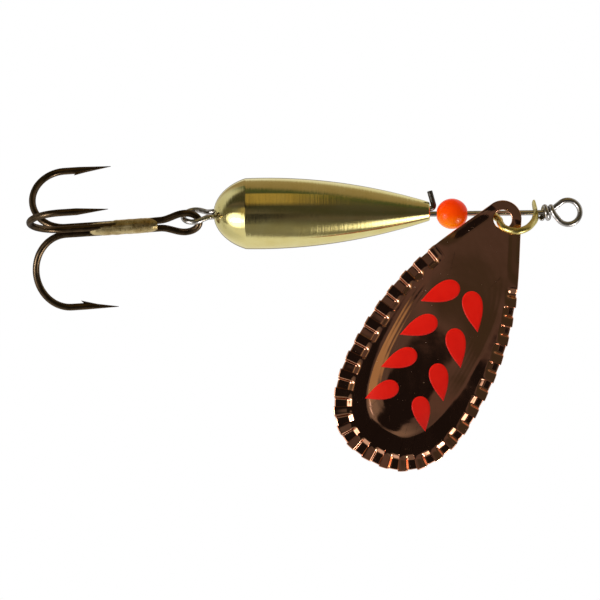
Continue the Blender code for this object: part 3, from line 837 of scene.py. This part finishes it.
def make_clevis(brass):
    centres = smooth_path([(x, 0, -depth) for x, depth in CLEVIS_CENTRES], 14)
    sizes = [clevis_section(-centre.z, centre.x < -3.0) for centre in centres]
    front = Matrix.Translation((CLEVIS_FRONT_X, 0, 0))
    tilted = front @ rotation(CLEVIS_TILT, "X")
    clevis = object_from("folded_clevis", swept_mesh(centres, sizes, (1, 0, 0), 32), brass, tilted)
    drill = bmesh.new()
    turn = rotation(90, "Y")
    sizes = {"radius1": EAR_BORE_RADIUS, "radius2": EAR_BORE_RADIUS, "depth": 12.0}
    bmesh.ops.create_cone(drill, cap_ends=True, segments=48, matrix=turn, **sizes)
    combine(clevis, object_from("ear_drill", drill, brass, front), "DIFFERENCE")
    shade(clevis.data, 40)
    place(clevis, "clevis", "clevis_brass", "clevis")


# ---- blade


def blade_matrix():
    turn = rotation(BLADE_TURN, "Y") @ rotation(90, "X")
    shift = Matrix.Translation((-PIVOT_IN_BLADE[0], -PIVOT_IN_BLADE[1], 0))
    return Matrix.Translation(BLADE_PIVOT) @ turn @ shift


def half_outline():
    """(along, across) points of one side, from the tab's end to the far tip."""
    points = []
    start_x, start_y = SIDE_HANDLES[0]
    side_turn = atan2(start_y, start_x)
    for i in range(60):
        turn = pi + (side_turn - pi) * i / 60
        points.append((TAB_RADIUS * cos(turn), TAB_RADIUS * sin(turn)))
    handles = [*SIDE_HANDLES, (BLADE_WIDEST, BLADE_HALF_WIDTH)]
    for i in range(240):
        u = i / 240
        weights = ((1 - u) ** 3, 3 * u * (1 - u) ** 2, 3 * u * u * (1 - u), u**3)
        points.append(tuple(sum(w * handle[k] for w, handle in zip(weights, handles)) for k in (0, 1)))
    power = 2 / BLADE_END_SQUARENESS
    for i in range(241):
        turn = pi / 2 * (1 - i / 240)
        along = BLADE_WIDEST + (BLADE_TIP - BLADE_WIDEST) * cos(turn) ** power
        points.append((along, BLADE_HALF_WIDTH * max(sin(turn), 0.0) ** power))
    return points


def spaced(points, shares):
    """Points at these shares of a polyline's length, in rising order."""
    lengths = [0.0]
    for (ax, ay), (bx, by) in zip(points, points[1:]):
        lengths.append(lengths[-1] + hypot(bx - ax, by - ay))
    found = []
    piece = 0
    for part in shares:
        wanted = lengths[-1] * part
        while lengths[piece + 1] < wanted:
            piece += 1
        share = (wanted - lengths[piece]) / (lengths[piece + 1] - lengths[piece])
        (ax, ay), (bx, by) = points[piece], points[piece + 1]
        found.append((ax + (bx - ax) * share, ay + (by - ay) * share))
    return found


def inward(points):
    """Directions in from the edge: square to it, or towards the middle of the dome round the tab."""
    found = []
    for k, (x, y) in enumerate(points):
        (ax, ay), (bx, by) = points[k - 1], points[(k + 1) % len(points)]
        square = Vector((by - ay, ax - bx)).normalized()
        centre = Vector((DOME_CENTRE - x, -y)).normalized()
        if square.dot(centre) < 0:
            square = -square
        found.append(square.lerp(centre, ease((CRIMP_START - x) / TAB_BLEND)).normalized())
    return found


def blade_edge():
    """Edge points, each with its direction inwards and its place in the crimps, or None on the tab."""
    half = half_outline()
    crimped = [point for point in half if point[0] >= CRIMP_START]
    plain = [point for point in half if point[0] < CRIMP_START] + crimped[:1]
    crimped_path = crimped + [(x, -y) for x, y in reversed(crimped[:-1])]
    plain_path = [(x, -y) for x, y in reversed(plain)] + plain[1:]
    places = [index + phase for index in range(CRIMPS) for phase in crimp_phases(index)]
    points = spaced(crimped_path, [at / CRIMPS for at in places])
    points += spaced(plain_path, [i / PLAIN_POINTS for i in range(PLAIN_POINTS)])
    return list(zip(points, inward(points), places + [None] * PLAIN_POINTS))


SIDE = [point for point in half_outline() if point[0] >= SIDE_HANDLES[0][0]]
SIDE_XS = [x for x, _ in SIDE]


def tab_roll(x, y):
    """How far the tab's long sides are rolled back."""
    if not TAB_ROLL_START < x < CRIMP_START:
        return 0.0
    edge_y = SIDE[bisect.bisect(SIDE_XS, x)][1]
    inset = (edge_y - abs(y)) * TAB_SIDE_COSINE
    fade = ease((x - TAB_ROLL_START) / TAB_ROLL_FADE_IN) * ease((CRIMP_START - x) / TAB_ROLL_FADE_OUT)
    return -TAB_ROLL * (1 - ease(inset / TAB_ROLL_WIDTH)) * fade


def blade_height(x, y):
    """Height of the domed side above the plane of the tab, without the crimps."""
    far = x > DOME_CENTRE
    along = (abs(x - DOME_CENTRE) / (DOME_FAR_LENGTH if far else DOME_NEAR_LENGTH)) ** DOME_SQUARENESS
    across = (abs(y) / DOME_HALF_WIDTH) ** DOME_SQUARENESS
    reach = (along + across) ** (1 / DOME_SQUARENESS)
    end_fullness = DOME_FAR_FULLNESS if far else DOME_NEAR_FULLNESS
    fullness = DOME_SIDE_FULLNESS + (end_fullness - DOME_SIDE_FULLNESS) * along / (along + across + 1e-9)
    free = DOME_HEIGHT * (1 - reach**fullness)
    softness = DOME_SOFTNESS + DOME_NEAR_SOFTNESS * ease((DOME_SOFT_START - x) / DOME_SOFT_LENGTH)
    dome = (free + sqrt(free * free + softness * softness)) / 2
    shoulder = ease((reach - RIPPLE_START) / RIPPLE_FADE) * (1 - ease((reach - RIPPLE_END) / RIPPLE_FADE))
    dome += RIPPLE_HEIGHT * shoulder * sin(2 * pi * reach / RIPPLE_PITCH)
    bow = BOW_DEPTH * max(x - BOW_START, 0.0) ** 2 / (BLADE_TIP - BOW_START) ** 2
    wave = WAVE_HEIGHT * noise.noise(Vector((x * WAVE_SCALE, y * WAVE_SCALE, 7.0)))
    wave *= ease((x - WAVE_START) / WAVE_FADE)
    return dome * ease((x - DOME_RISE_START) / DOME_RISE_LENGTH) - bow + wave + tab_roll(x, y)


def jitter(index, salt):
    """A fixed pseudo-random value from -1 to 1 for each crimp."""
    value = sin(index * 12.9898 + salt * 78.233) * 43758.5453
    return 2 * (value - floor(value)) - 1


def crimp_profile(index):
    """One crimp's profile, with its sloped side a little early or late."""
    step = CRIMP_SHIFT * jitter(index, 1)
    return [(phase + step if 0.3 < phase < 0.6 else phase, level) for phase, level in CRIMP_PROFILE]


def crimp_phases(index):
    """Where a crimp is sampled: as often on its slopes as on its flats."""
    profile = crimp_profile(index)
    steps = [i / CRIMP_SAMPLES for i in range(CRIMP_SAMPLES)]
    return [a + (b - a) * step for (a, _), (b, _) in zip(profile, profile[1:]) for step in steps]


def crimp_level(at):
    """Height along a crimp: its low floor, the sloped side up, its high block and the steep step down."""
    index = floor(at)
    phase = at - index
    profile = crimp_profile(index)
    for (start, low), (end, high) in zip(profile, profile[1:]):
        if phase <= end:
            share = (phase - start) / (end - start)
            share = 0.5 * share + 0.5 * ease(share)
            return (low + (high - low) * share) * (1 + CRIMP_UNEVEN * jitter(index, 4))
    return CRIMP_PROFILE[-1][1]


def crimp_band(at):
    """How far in from the rim a crimp reaches: widest round the far end."""
    share = at / CRIMPS
    band = CRIMP_BAND + CRIMP_BAND_GAIN * ease((share - 0.2) / 0.4)
    band -= CRIMP_BAND_LOSS * ease((share - 0.8) / 0.2)
    return band + CRIMP_UNEVEN * jitter(floor(at), 3)


def crimp_strength(at):
    """1 along the rim, and less at the first and the last crimp."""
    return ease(at / CRIMP_FADE_IN) * ease((CRIMPS - at) / CRIMP_FADE_OUT)


def crimp_offset(at, inset):
    """Height that a crimp adds at this distance in from the rim."""
    if at is None:
        return 0.0
    wall = min(max((crimp_band(at) - inset) / CRIMP_WALL, 0.0), 1.0)
    wall = 0.65 * wall + 0.35 * ease(wall)
    return crimp_level(at) * wall * crimp_strength(at)


def crimp_bulge(at, inset):
    """How far the rim is pushed out by a crimp, in the plane of the blade."""
    if at is None:
        return 0.0
    wave = 1 + crimp_level(at) / CRIMP_BULGE_LEVEL
    return CRIMP_BULGE * wave * crimp_strength(at) * (1 - ease(inset / CRIMP_BULGE_REACH))


def blade_rows():
    """(inset from the rim, share of what is left) for each row of points, from the rim to the middle."""
    insets = [0.0, 0.05, RIM_EDGE] + [RIM_EDGE + RIM_REACH * (i + 1) / RIM_ROWS for i in range(RIM_ROWS)]
    shares = [1 - (i / DOME_ROWS) ** DOME_ROW_SPACING for i in range(1, DOME_ROWS)]
    return [(inset, 1.0) for inset in insets] + [(insets[-1], share) for share in shares]


def blade_mesh():
    """Both faces of the sheet, joined round the rim."""
    edge = blade_edge()
    half = BLADE_THICKNESS / 2
    mesh = bmesh.new()
    rims = []
    for side in (1, -1):
        rings = []
        for inset, share in blade_rows():
            rounding = RIM_ROUNDING * (1 - sqrt(1 - (1 - min(inset / RIM_EDGE, 1.0)) ** 2))
            ring = []
            for (x, y), (dx, dy), at in edge:
                move = inset - crimp_bulge(at, inset)
                px = DOME_CENTRE + (x + dx * move - DOME_CENTRE) * share
                py = (y + dy * move) * share
                height = blade_height(px, py) + crimp_offset(at, inset)
                ring.append(mesh.verts.new((px, py, height + side * (half - rounding))))
            rings.append(ring)
        stitch(mesh, rings)
        fan(mesh, rings[-1], (DOME_CENTRE, 0, blade_height(DOME_CENTRE, 0) + side * half))
        rims.append(rings[0])
    stitch(mesh, rims)
    return mesh


def punch_mesh():
    """A spool that leaves a rounded edge on both faces of the hole."""
    half = BLADE_THICKNESS / 2
    wide = HOLE_RADIUS + HOLE_EDGE
    outline = [(-1.5, wide), (-half - 0.001, wide)]
    for side, steps in ((-1, range(1, 6)), (1, range(4, -1, -1))):
        for i in steps:
            turn = pi / 2 * i / 5
            lift = half - HOLE_EDGE * (1 - cos(turn))
            outline.append((side * lift, HOLE_RADIUS + HOLE_EDGE * (1 - sin(turn))))
    outline += [(half + 0.001, wide), (1.5, wide)]
    mesh = bmesh.new()
    rings = []
    for height, radius in outline:
        points = [(radius * cos(turn), radius * sin(turn), height) for turn in circle(72)]
        rings.append([mesh.verts.new(point) for point in points])
    stitch(mesh, rings, caps=True)
    return mesh


def make_blade(copper):
    blade = object_from("spinner_blade", blade_mesh(), copper, blade_matrix(), 60)
    combine(blade, object_from("punch", punch_mesh(), copper, blade_matrix()), "DIFFERENCE")
    place(blade, "blade", "blade_copper", "blade")


def drop_mesh(along, across, length, width, side):
    """A pointed drop of paint that follows the blade, thinning at its edge."""
    turns = circle(72)
    outline = [(cos(turn), sin(turn) * sin(turn / 2) ** DROP_TIP_SHARPNESS) for turn in turns]
    widest = max(v for _, v in outline)
    angle = radians(DROP_ANGLE)
    forward = Vector((cos(angle), side * sin(angle)))
    sideways = Vector((-forward.y, forward.x))
    half = BLADE_THICKNESS / 2

    def on_blade(u, v, lift):
        point = forward * (u * length / 2) + sideways * (v * width / 2 / widest)
        px, py = along + point.x, side * across + point.y
        return px, py, blade_height(px, py) + half + lift

    mesh = bmesh.new()
    rings = []
    inner = [(1 - i / DROP_ROWS, DROP_LIFT) for i in range(1, DROP_ROWS)]
    for share, lift in [(1.0, -DROP_SINK), (0.985, DROP_LIFT), *inner]:
        points = [on_blade(DROP_MIDDLE + (u - DROP_MIDDLE) * share, v * share, lift) for u, v in outline]
        rings.append([mesh.verts.new(point) for point in points])
    stitch(mesh, rings)
    fan(mesh, rings[-1], on_blade(DROP_MIDDLE, 0, DROP_LIFT))
    return mesh


def make_drops(lacquer):
    for row, (along, across, length, width) in enumerate(DROPS, 1):
        for side, name in ((-1, "left"), (1, "right")):
            mesh = drop_mesh(along, across, length, width, side)
            drop = object_from(f"drop_{name}_{row}", mesh, lacquer, blade_matrix(), 80)
            place(drop, "blade", "drop_paint")


# ---- treble hook


def hook_matrix():
    pivot = Matrix.Translation((LOOP_REAR_X, LOOP_BACK, LOOP_REAR_Z))
    return pivot @ rotation(HOOK_TILT, "Y")


def hook_direction(degrees):
    """Unit vector across the shanks: 0 is towards -Y and 90 is towards +Z."""
    turn = radians(degrees)
    return Vector((0, -cos(turn), sin(turn)))


def hook_axis_point(x, outward, degrees):
    return Vector((x, HOOK_AXIS_Y, HOOK_AXIS_Z)) + outward * hook_direction(degrees)


def point_radius(x):
    """Wire radius on the point's leg, which is ground down to the tip."""
    left = (HOOK_POINT_X - x) / HOOK_POINT_TAPER
    return HOOK_TIP_RADIUS + (HOOK_WIRE_RADIUS - HOOK_TIP_RADIUS) * min(left, 1.0)


def hook_bend(degrees):
    """Centres and radii from the tip of one hook, round its bend, to the rear of its shank."""
    stations = []
    for share in (1.0, 0.985, 0.96, 0.9, 0.8, 0.7, 0.6, 0.45, 0.3, 0.15, 0.05, 0.0):
        x = HOOK_POINT_X - HOOK_POINT_TAPER * (1 - share)
        radius = point_radius(x)
        lift = HOOK_POINT_LIFT * (HOOK_WIRE_RADIUS - radius)
        stations.append((hook_axis_point(x, HOOK_POINT_RADIUS + lift, degrees), radius))
    middle = (HOOK_POINT_RADIUS + HOOK_BUNDLE_RADIUS) / 2
    half = (HOOK_POINT_RADIUS - HOOK_BUNDLE_RADIUS) / 2
    for i in range(49):
        turn = pi * i / 48
        x = HOOK_BEND_X - HOOK_BEND_DEPTH * sin(turn)
        stations.append((hook_axis_point(x, middle + half * cos(turn), degrees), HOOK_WIRE_RADIUS))
    return stations


def shank(degrees, front_x, count):
    """The straight shank, from near its rear to its front."""
    stations = []
    for i in range(1, count + 1):
        x = HOOK_BEND_X + (front_x - HOOK_BEND_X) * i / count
        stations.append((hook_axis_point(x, HOOK_BUNDLE_RADIUS, degrees), HOOK_WIRE_RADIUS))
    return stations


def hook_eye():
    """The eye of the double hook, from its upper shank round to its lower one."""
    twist = radians(HOOK_EYE_TWIST)
    upward = Vector((0, sin(twist), cos(twist)))
    rear = HOOK_EYE_X - HOOK_EYE_REAR
    near = HOOK_BUNDLE_RADIUS
    outline = loop_outline(rear, HOOK_EYE_X, HOOK_EYE_FRONT, near, HOOK_EYE_HALF_HEIGHT, 26, 36)
    return [Vector((x, HOOK_AXIS_Y, HOOK_AXIS_Z)) + side * upward for x, side in outline]


def double_stations():
    turns = (HOOK_ROLL + 120, HOOK_ROLL - 120)
    halves = [hook_bend(degrees) + shank(degrees, HOOK_SHANKS_PART_X, 12) for degrees in turns]
    eye = [(centre, HOOK_WIRE_RADIUS) for centre in hook_eye()]
    return halves[0] + eye + halves[1][::-1]


def wire_mesh(stations, sides):
    centres = [centre for centre, _ in stations]
    sizes = [(radius, radius) for _, radius in stations]
    return swept_mesh(centres, sizes, (0, 0.3, 1), sides)


def add_barb(hook, degrees, steel):
    """A sliver raised from the inner side of the point's leg, from its free tip to its root."""
    inner = HOOK_POINT_RADIUS - HOOK_WIRE_RADIUS
    across = hook_direction(degrees).cross(Vector((1, 0, 0)))
    mesh = bmesh.new()
    for ahead, outward, half_width in BARB_SECTIONS:
        for side in (-half_width, half_width):
            mesh.verts.new(hook_axis_point(BARB_X + ahead, inner + outward, degrees) + across * side)
    bmesh.ops.convex_hull(mesh, input=mesh.verts)
    combine(hook, object_from(f"{hook.name}_barb", mesh, steel, hook_matrix()), "UNION")


def make_hooks(bronze):
    double = object_from("double_hook", wire_mesh(double_stations(), 20), bronze, hook_matrix())
    stations = hook_bend(HOOK_ROLL) + shank(HOOK_ROLL, HOOK_SINGLE_FRONT_X, 12)
    single = object_from("single_hook", wire_mesh(stations, 20), bronze, hook_matrix())
    for hook, turns, node in ((double, (120, -120), "hook_double"), (single, (0,), "hook_single")):
        for turn in turns:
            add_barb(hook, HOOK_ROLL + turn, bronze)
        shade(hook.data, 40)
        place(hook, "hook", "hook_bronze", node)


def bundle_radius(degrees, x):
    """Distance from the bundle's axis to the outside of the shanks in this direction."""
    reach = 0.0
    for turn in (0, 120, -120):
        if turn == 0 and x > HOOK_SINGLE_FRONT_X:
            continue
        off = radians(degrees - HOOK_ROLL - turn)
        inside = HOOK_WIRE_RADIUS**2 - (HOOK_BUNDLE_RADIUS * sin(off)) ** 2
        if inside > 0 and cos(off) > 0:
            reach = max(reach, HOOK_BUNDLE_RADIUS * cos(off) + sqrt(inside))
    return reach


def make_braze(filler):
    """Filler in the grooves between the shanks, washed thinly over them, with a bare upper rear end."""
    mesh = bmesh.new()
    rings = []
    rows, sides = 90, 72
    for i in range(rows + 1):
        share = i / rows
        x = BRAZE_REAR_X + (BRAZE_FRONT_X - BRAZE_REAR_X) * share
        ends = 1 - abs(2 * share - 1) ** 8
        thin = BRAZE_REAR_THINNING * ease((BRAZE_THIN_END - share) / BRAZE_THIN_END)
        ring = []
        for k in range(sides):
            degrees = 360 * k / sides
            point = hook_axis_point(x, 1.0, degrees)
            lumps = noise.noise(point * 1.6) + 0.5 * noise.noise(point * 4.1)
            groove = BRAZE_GROOVE_RADIUS + BRAZE_GROOVE_LUMPS * lumps
            wash = bundle_radius(degrees, x) + BRAZE_LUMPS * lumps + BRAZE_WASH - thin
            bare = ease((BRAZE_BARE_END - share) / 0.1) * ease((sin(radians(degrees)) - 0.1) / 0.4)
            radius = min(max(groove, wash), BRAZE_LARGEST_RADIUS)
            radius *= (BRAZE_END_SHARE + (1 - BRAZE_END_SHARE) * ends) * (1 - BRAZE_BARE_SHARE * bare)
            ring.append(mesh.verts.new(hook_axis_point(x, radius, degrees)))
        rings.append(ring)
    stitch(mesh, rings, caps=True)
    braze = object_from("braze_filler", mesh, filler, hook_matrix(), 70)
    place(braze, "hook", "braze_brass", "hook_braze")


# ---- studio


def make_camera():
    data = bpy.data.cameras.new("camera")
    data.sensor_width = 36.0
    data.lens = data.sensor_width * VIEW_DISTANCE / VIEW_WIDTH
    data.clip_start = 0.01
    data.clip_end = 20.0
    camera = bpy.data.objects.new("camera", data)
    spot = Vector((VIEW_CENTRE[0], -VIEW_DISTANCE, VIEW_CENTRE[1])) * MM
    tilt = rotation(90, "X") @ rotation(-VIEW_ROLL, "Z")
    camera.matrix_world = Matrix.Translation(spot) @ tilt
    bpy.context.scene.collection.objects.link(camera)
    bpy.context.scene.camera = camera


def make_studio():
    """A white surround for the camera, and for reflections a dim room in front with two soft lamps."""
    world = bpy.data.worlds.new("studio")
    bpy.context.scene.world = world
    world.use_nodes = True
    tree = world.node_tree
    direction = add(tree, "ShaderNodeTexCoord").outputs["Generated"]
    parts = add(tree, "ShaderNodeSeparateXYZ", {"Vector": direction})
    toward = times(tree, parts.outputs["Y"], -1.0)
    angle = math_of(tree, "ARCTAN2", parts.outputs["Z"], toward)
    level = math_of(tree, "MULTIPLY_ADD", angle, 0.5 / pi, 0.5)
    share = math_of(tree, "ADD", level, times(tree, parts.outputs["X"], ROOM_ROLL / 360))
    room = ramp(tree, share, [((degrees + 180) / 360, colour) for degrees, colour in ROOM])
    sideways = math_of(tree, "ABSOLUTE", parts.outputs["X"])
    warm = ramp(tree, level, [((degrees + 180) / 360, amount) for degrees, amount in WARM])
    warm = times(tree, warm, ramp(tree, sideways, ((0.08, 1.0), (0.20, 0.0)), "EASE"))
    room = mixed(tree, warm, room, WARM_COLOUR)
    edge = ramp(tree, sideways, ((0.35, 0.0), (0.65, 1.0)), "EASE")
    inputs = {"Value": parts.outputs["Y"], "From Min": -0.05, "From Max": 0.10}
    behind = add(tree, "ShaderNodeMapRange", inputs).outputs["Result"]
    room = mixed(tree, times(tree, edge, behind), room, WALLS_COLOUR)
    for aim, outer, inner, colour in PATCHES:
        inputs = {0: direction, 1: Vector(aim).normalized()}
        dot = add(tree, "ShaderNodeVectorMath", inputs, operation="DOT_PRODUCT").outputs["Value"]
        inputs = {"Value": dot, "From Min": outer, "From Max": inner}
        glow = add(tree, "ShaderNodeMapRange", inputs, interpolation_type="SMOOTHERSTEP").outputs["Result"]
        room = mixed(tree, glow, room, colour)
    sees = add(tree, "ShaderNodeLightPath").outputs["Is Camera Ray"]
    plug(tree, tree.nodes["Background"], {"Color": mixed(tree, sees, room, (1.0, 1.0, 1.0))})


def make_floor():
    mesh = bmesh.new()
    bmesh.ops.create_circle(mesh, cap_ends=True, segments=96, radius=FLOOR_RADIUS)
    material, tree = shader("pale_floor")
    tone = noise_of(tree, 0.02, 3)
    finish(material, {"Base Color": ramp(tree, tone, ((0.3, 0.82), (0.7, 0.86))), "Roughness": 0.6})
    disc = object_from("floor", mesh, material, Matrix.Translation((VIEW_CENTRE[0], 0, FLOOR_Z)))
    disc.visible_glossy = False


def make_lamp():
    data = bpy.data.lights.new("soft_lamp", "AREA")
    data.shape = "DISK"
    data.size = LAMP_SIZE * MM
    data.energy = LAMP_POWER
    lamp = bpy.data.objects.new("soft_lamp", data)
    spot = Vector(LAMP_PLACE) * MM
    lamp.location = spot
    lamp.rotation_mode = "QUATERNION"
    lamp.rotation_quaternion = (Vector(LAMP_AIM) * MM - spot).to_track_quat("-Z", "Y")
    lamp.visible_camera = False
    lamp.visible_glossy = False
    bpy.context.scene.collection.objects.link(lamp)


# ---- assembly


def main():
    bpy.context.scene.view_settings.view_transform = "Standard"
    make_camera()
    make_studio()
    make_floor()
    make_lamp()
    bright = drawn_wire("bright_wire", (0.42, 0.39, 0.37), (0.76, 0.73, 0.72), 0.16, 0.32, 0.004, 2.3)
    make_shaft_wire(bright)
    make_weight(turned_brass())
    make_bead(bead_plastic())
    make_clevis(bright_brass())
    make_blade(plated_copper())
    make_drops(drop_lacquer())
    make_hooks(drawn_wire("bronzed_wire", (0.05, 0.037, 0.023), (0.15, 0.098, 0.055), 0.22, 0.34, 0.0015))
    make_braze(brazed_metal())


main()
